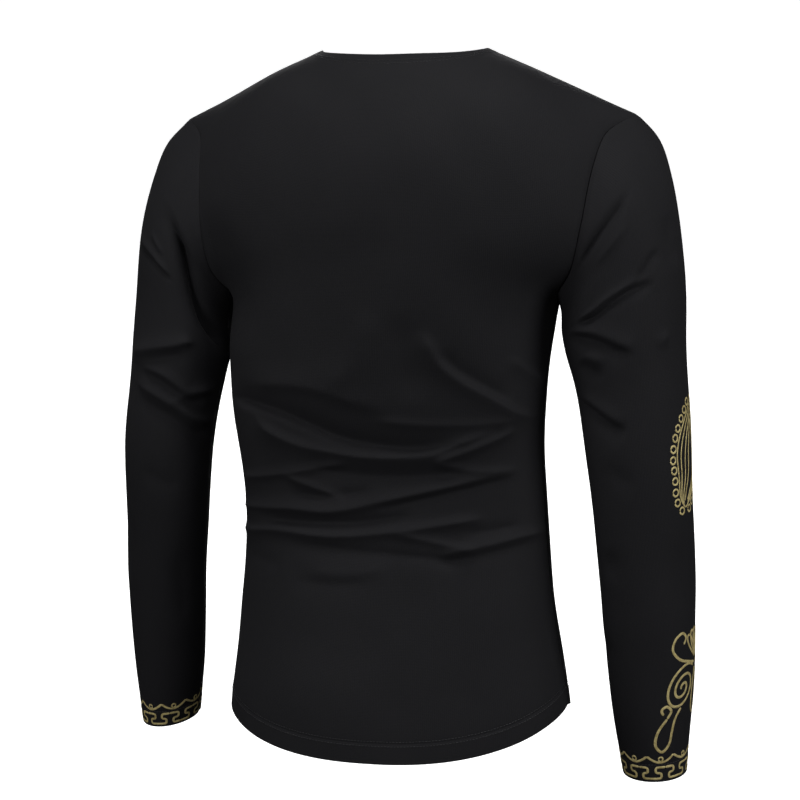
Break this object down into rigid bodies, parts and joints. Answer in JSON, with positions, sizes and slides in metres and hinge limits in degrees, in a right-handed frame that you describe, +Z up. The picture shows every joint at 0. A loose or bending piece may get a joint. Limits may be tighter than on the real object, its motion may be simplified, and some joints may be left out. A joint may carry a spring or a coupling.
{
  "type": "long-sleeved t-shirt",
  "caption": "Slim black long-sleeved crew-neck t-shirt in its worn form without a wearer, with curved hem and gold ornament on the sleeves.",
  "frame": {"origin": "midway between the two neck points, where the neckline meets the shoulder seams", "axes": "+Z up, the wearer faces -Y, +X towards the wearer's left"},
  "size_m": [0.6002, 0.2399, 0.7192],
  "materials": {
    "back": "matte black jersey",
    "front": "matte black jersey",
    "sleeve_left": "matte black jersey",
    "sleeve_right": "matte black jersey"
  },
  "bodies": {
    "root": {"back": "back", "front": "front", "sleeve_left": "sleeve_left", "sleeve_right": "sleeve_right"}
  },
  "joints": []
}
